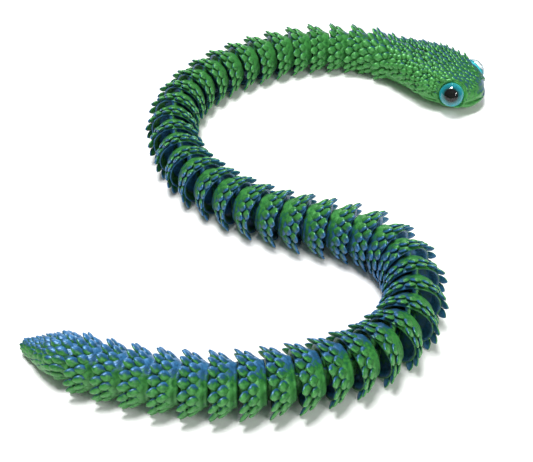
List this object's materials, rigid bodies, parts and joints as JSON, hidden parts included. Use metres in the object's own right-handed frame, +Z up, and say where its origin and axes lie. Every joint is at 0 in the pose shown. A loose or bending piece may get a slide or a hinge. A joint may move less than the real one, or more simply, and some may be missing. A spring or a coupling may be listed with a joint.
{
  "type": "articulated snake puzzle",
  "caption": "Long spiky snake fidget puzzle, printed in place: head, chain of scaled links on vertical pins and a tail, lying in an S, with domed glass eyes.",
  "frame": {"origin": "middle of the bounding box of the S lie, on the surface it rests on", "axes": "+Z up; the bellies lie on Z = 0; +X towards the snout side; +Y along the long way of the S, from the tail run to the neck run"},
  "size_m": [0.21, 0.2472, 0.0245],
  "materials": {
    "silk_pla": "two-tone green and blue silk PLA, FDM printed in fine layers",
    "eye_glass": "clear polished glass dome",
    "iris_print": "printed teal iris with a black pupil, glossy"
  },
  "bodies": {
    "head": {"head": "silk_pla", "left_eye_dome": "eye_glass", "right_eye_dome": "eye_glass", "left_iris": "iris_print", "right_iris": "iris_print"},
    "link_01": {"link_01": "silk_pla"},
    "link_02": {"link_02": "silk_pla"},
    "link_03": {"link_03": "silk_pla"},
    "link_04": {"link_04": "silk_pla"},
    "link_05": {"link_05": "silk_pla"},
    "link_06": {"link_06": "silk_pla"},
    "link_07": {"link_07": "silk_pla"},
    "link_08": {"link_08": "silk_pla"},
    "link_09": {"link_09": "silk_pla"},
    "link_10": {"link_10": "silk_pla"},
    "link_11": {"link_11": "silk_pla"},
    "link_12": {"link_12": "silk_pla"},
    "link_13": {"link_13": "silk_pla"},
    "link_14": {"link_14": "silk_pla"},
    "link_15": {"link_15": "silk_pla"},
    "link_16": {"link_16": "silk_pla"},
    "link_17": {"link_17": "silk_pla"},
    "link_18": {"link_18": "silk_pla"},
    "link_19": {"link_19": "silk_pla"},
    "link_20": {"link_20": "silk_pla"},
    "link_21": {"link_21": "silk_pla"},
    "link_22": {"link_22": "silk_pla"},
    "link_23": {"link_23": "silk_pla"},
    "link_24": {"link_24": "silk_pla"},
    "link_25": {"link_25": "silk_pla"},
    "link_26": {"link_26": "silk_pla"},
    "link_27": {"link_27": "silk_pla"},
    "link_28": {"link_28": "silk_pla"},
    "link_29": {"link_29": "silk_pla"},
    "link_30": {"link_30": "silk_pla"},
    "link_31": {"link_31": "silk_pla"},
    "link_32": {"link_32": "silk_pla"},
    "link_33": {"link_33": "silk_pla"},
    "link_34": {"link_34": "silk_pla"},
    "link_35": {"link_35": "silk_pla"},
    "link_36": {"link_36": "silk_pla"},
    "link_37": {"link_37": "silk_pla"},
    "link_38": {"link_38": "silk_pla"},
    "link_39": {"link_39": "silk_pla"},
    "link_40": {"link_40": "silk_pla"},
    "link_41": {"link_41": "silk_pla"},
    "link_42": {"link_42": "silk_pla"},
    "link_43": {"link_43": "silk_pla"},
    "tail": {"tail": "silk_pla"}
  },
  "joints": [
    {"name": "bend_01", "type": "hinge", "parent": "head", "child": "link_01", "pos_m": [0.04854, 0.10692, 0.0095], "axis": [0, 0, 1], "range_deg": [-39.2, 0.8]},
    {"name": "bend_02", "type": "hinge", "parent": "link_01", "child": "link_02", "pos_m": [0.03835, 0.10946, 0.0095], "axis": [0, 0, 1], "range_deg": [-29.5, 10.5]},
    {"name": "bend_03", "type": "hinge", "parent": "link_02", "child": "link_03", "pos_m": [0.02788, 0.11028, 0.0095], "axis": [0, 0, 1], "range_deg": [-27.9, 12.1]},
    {"name": "bend_04", "type": "hinge", "parent": "link_03", "child": "link_04", "pos_m": [0.0174, 0.10966, 0.0095], "axis": [0, 0, -1], "range_deg": [-12.1, 27.9]},
    {"name": "bend_05", "type": "hinge", "parent": "link_04", "child": "link_05", "pos_m": [0.0071, 0.1076, 0.0095], "axis": [0, 0, -1], "range_deg": [-12.1, 27.9]},
    {"name": "bend_06", "type": "hinge", "parent": "link_05", "child": "link_06", "pos_m": [-0.00281, 0.10415, 0.0095], "axis": [0, 0, -1], "range_deg": [-14.3, 25.7]},
    {"name": "bend_07", "type": "hinge", "parent": "link_06", "child": "link_07", "pos_m": [-0.01234, 0.09973, 0.0095], "axis": [0, 0, -1], "range_deg": [-14.3, 25.7]},
    {"name": "bend_08", "type": "hinge", "parent": "link_07", "child": "link_08", "pos_m": [-0.02137, 0.09438, 0.0095], "axis": [0, 0, -1], "range_deg": [-14.3, 25.7]},
    {"name": "bend_09", "type": "hinge", "parent": "link_08", "child": "link_09", "pos_m": [-0.02984, 0.08817, 0.0095], "axis": [0, 0, -1], "range_deg": [-12, 28]},
    {"name": "bend_10", "type": "hinge", "parent": "link_09", "child": "link_10", "pos_m": [-0.03735, 0.08083, 0.0095], "axis": [0, 0, 1], "range_deg": [-28, 12]},
    {"name": "bend_11", "type": "hinge", "parent": "link_10", "child": "link_11", "pos_m": [-0.04377, 0.07253, 0.0095], "axis": [0, 0, 1], "range_deg": [-31.3, 8.7]},
    {"name": "bend_12", "type": "hinge", "parent": "link_11", "child": "link_12", "pos_m": [-0.04844, 0.06312, 0.0095], "axis": [0, 0, 1], "range_deg": [-31.3, 8.7]},
    {"name": "bend_13", "type": "hinge", "parent": "link_12", "child": "link_13", "pos_m": [-0.05118, 0.05298, 0.0095], "axis": [0, 0, 1], "range_deg": [-32.2, 7.8]},
    {"name": "bend_14", "type": "hinge", "parent": "link_13", "child": "link_14", "pos_m": [-0.05171, 0.0425, 0.0095], "axis": [0, 0, 1], "range_deg": [-32.2, 7.8]},
    {"name": "bend_15", "type": "hinge", "parent": "link_14", "child": "link_15", "pos_m": [-0.05001, 0.03214, 0.0095], "axis": [0, 0, 1], "range_deg": [-29.3, 10.7]},
    {"name": "bend_16", "type": "hinge", "parent": "link_15", "child": "link_16", "pos_m": [-0.04666, 0.02218, 0.0095], "axis": [0, 0, -1], "range_deg": [-10.7, 29.3]},
    {"name": "bend_17", "type": "hinge", "parent": "link_16", "child": "link_17", "pos_m": [-0.04175, 0.0129, 0.0095], "axis": [0, 0, -1], "range_deg": [-10.7, 29.3]},
    {"name": "bend_18", "type": "hinge", "parent": "link_17", "child": "link_18", "pos_m": [-0.0354, 0.00454, 0.0095], "axis": [0, 0, -1], "range_deg": [-10.7, 29.3]},
    {"name": "bend_19", "type": "hinge", "parent": "link_18", "child": "link_19", "pos_m": [-0.02778, -0.00269, 0.0095], "axis": [0, 0, -1], "range_deg": [-13.4, 26.6]},
    {"name": "bend_20", "type": "hinge", "parent": "link_19", "child": "link_20", "pos_m": [-0.01939, -0.00899, 0.0095], "axis": [0, 0, -1], "range_deg": [-13.4, 26.6]},
    {"name": "bend_21", "type": "hinge", "parent": "link_20", "child": "link_21", "pos_m": [-0.01032, -0.01429, 0.0095], "axis": [0, 0, -1], "range_deg": [-13.4, 26.6]},
    {"name": "bend_22", "type": "hinge", "parent": "link_21", "child": "link_22", "pos_m": [-0.00071, -0.01851, 0.0095], "axis": [0, 0, 1], "range_deg": [-23.8, 16.2]},
    {"name": "bend_23", "type": "hinge", "parent": "link_22", "child": "link_23", "pos_m": [0.00917, -0.02208, 0.0095], "axis": [0, 0, 1], "range_deg": [-23.8, 16.2]},
    {"name": "bend_24", "type": "hinge", "parent": "link_23", "child": "link_24", "pos_m": [0.01925, -0.02499, 0.0095], "axis": [0, 0, 1], "range_deg": [-18.7, 21.3]},
    {"name": "bend_25", "type": "hinge", "parent": "link_24", "child": "link_25", "pos_m": [0.02927, -0.02813, 0.0095], "axis": [0, 0, 1], "range_deg": [-11.1, 28.9]},
    {"name": "bend_26", "type": "hinge", "parent": "link_25", "child": "link_26", "pos_m": [0.03869, -0.03279, 0.0095], "axis": [0, 0, 1], "range_deg": [-3.6, 36.4]},
    {"name": "bend_27", "type": "hinge", "parent": "link_26", "child": "link_27", "pos_m": [0.0464, -0.03991, 0.0095], "axis": [0, 0, 1], "range_deg": [-1.7, 38.3]},
    {"name": "bend_28", "type": "hinge", "parent": "link_27", "child": "link_28", "pos_m": [0.05149, -0.04909, 0.0095], "axis": [0, 0, -1], "range_deg": [-38.3, 1.7]},
    {"name": "bend_29", "type": "hinge", "parent": "link_28", "child": "link_29", "pos_m": [0.05344, -0.05941, 0.0095], "axis": [0, 0, -1], "range_deg": [-36.2, 3.8]},
    {"name": "bend_30", "type": "hinge", "parent": "link_29", "child": "link_30", "pos_m": [0.05244, -0.06986, 0.0095], "axis": [0, 0, -1], "range_deg": [-36.2, 3.8]},
    {"name": "bend_31", "type": "hinge", "parent": "link_30", "child": "link_31", "pos_m": [0.04855, -0.07962, 0.0095], "axis": [0, 0, -1], "range_deg": [-36.2, 3.8]},
    {"name": "bend_32", "type": "hinge", "parent": "link_31", "child": "link_32", "pos_m": [0.0421, -0.0879, 0.0095], "axis": [0, 0, -1], "range_deg": [-32.7, 7.3]},
    {"name": "bend_33", "type": "hinge", "parent": "link_32", "child": "link_33", "pos_m": [0.03399, -0.09457, 0.0095], "axis": [0, 0, -1], "range_deg": [-30.3, 9.7]},
    {"name": "bend_34", "type": "hinge", "parent": "link_33", "child": "link_34", "pos_m": [0.02482, -0.09967, 0.0095], "axis": [0, 0, 1], "range_deg": [-12.8, 27.2]},
    {"name": "bend_35", "type": "hinge", "parent": "link_34", "child": "link_35", "pos_m": [0.01507, -0.10359, 0.0095], "axis": [0, 0, 1], "range_deg": [-14.2, 25.8]},
    {"name": "bend_36", "type": "hinge", "parent": "link_35", "child": "link_36", "pos_m": [0.00499, -0.1065, 0.0095], "axis": [0, 0, 1], "range_deg": [-14.2, 25.8]},
    {"name": "bend_37", "type": "hinge", "parent": "link_36", "child": "link_37", "pos_m": [-0.00534, -0.10838, 0.0095], "axis": [0, 0, 1], "range_deg": [-15.3, 24.7]},
    {"name": "bend_38", "type": "hinge", "parent": "link_37", "child": "link_38", "pos_m": [-0.01579, -0.1094, 0.0095], "axis": [0, 0, 1], "range_deg": [-15.3, 24.7]},
    {"name": "bend_39", "type": "hinge", "parent": "link_38", "child": "link_39", "pos_m": [-0.02629, -0.10957, 0.0095], "axis": [0, 0, 1], "range_deg": [-15.3, 24.7]},
    {"name": "bend_40", "type": "hinge", "parent": "link_39", "child": "link_40", "pos_m": [-0.03677, -0.10887, 0.0095], "axis": [0, 0, -1], "range_deg": [-24.7, 15.3]},
    {"name": "bend_41", "type": "hinge", "parent": "link_40", "child": "link_41", "pos_m": [-0.04715, -0.10732, 0.0095], "axis": [0, 0, -1], "range_deg": [-24.7, 15.3]},
    {"name": "bend_42", "type": "hinge", "parent": "link_41", "child": "link_42", "pos_m": [-0.05738, -0.10492, 0.0095], "axis": [0, 0, -1], "range_deg": [-23.1, 16.9]},
    {"name": "bend_43", "type": "hinge", "parent": "link_42", "child": "link_43", "pos_m": [-0.06746, -0.10198, 0.0095], "axis": [0, 0, -1], "range_deg": [-23.1, 16.9]},
    {"name": "bend_44", "type": "hinge", "parent": "link_43", "child": "tail", "pos_m": [-0.07736, -0.09849, 0.0095], "axis": [0, 0, -1], "range_deg": [-29.3, 10.7]}
  ]
}
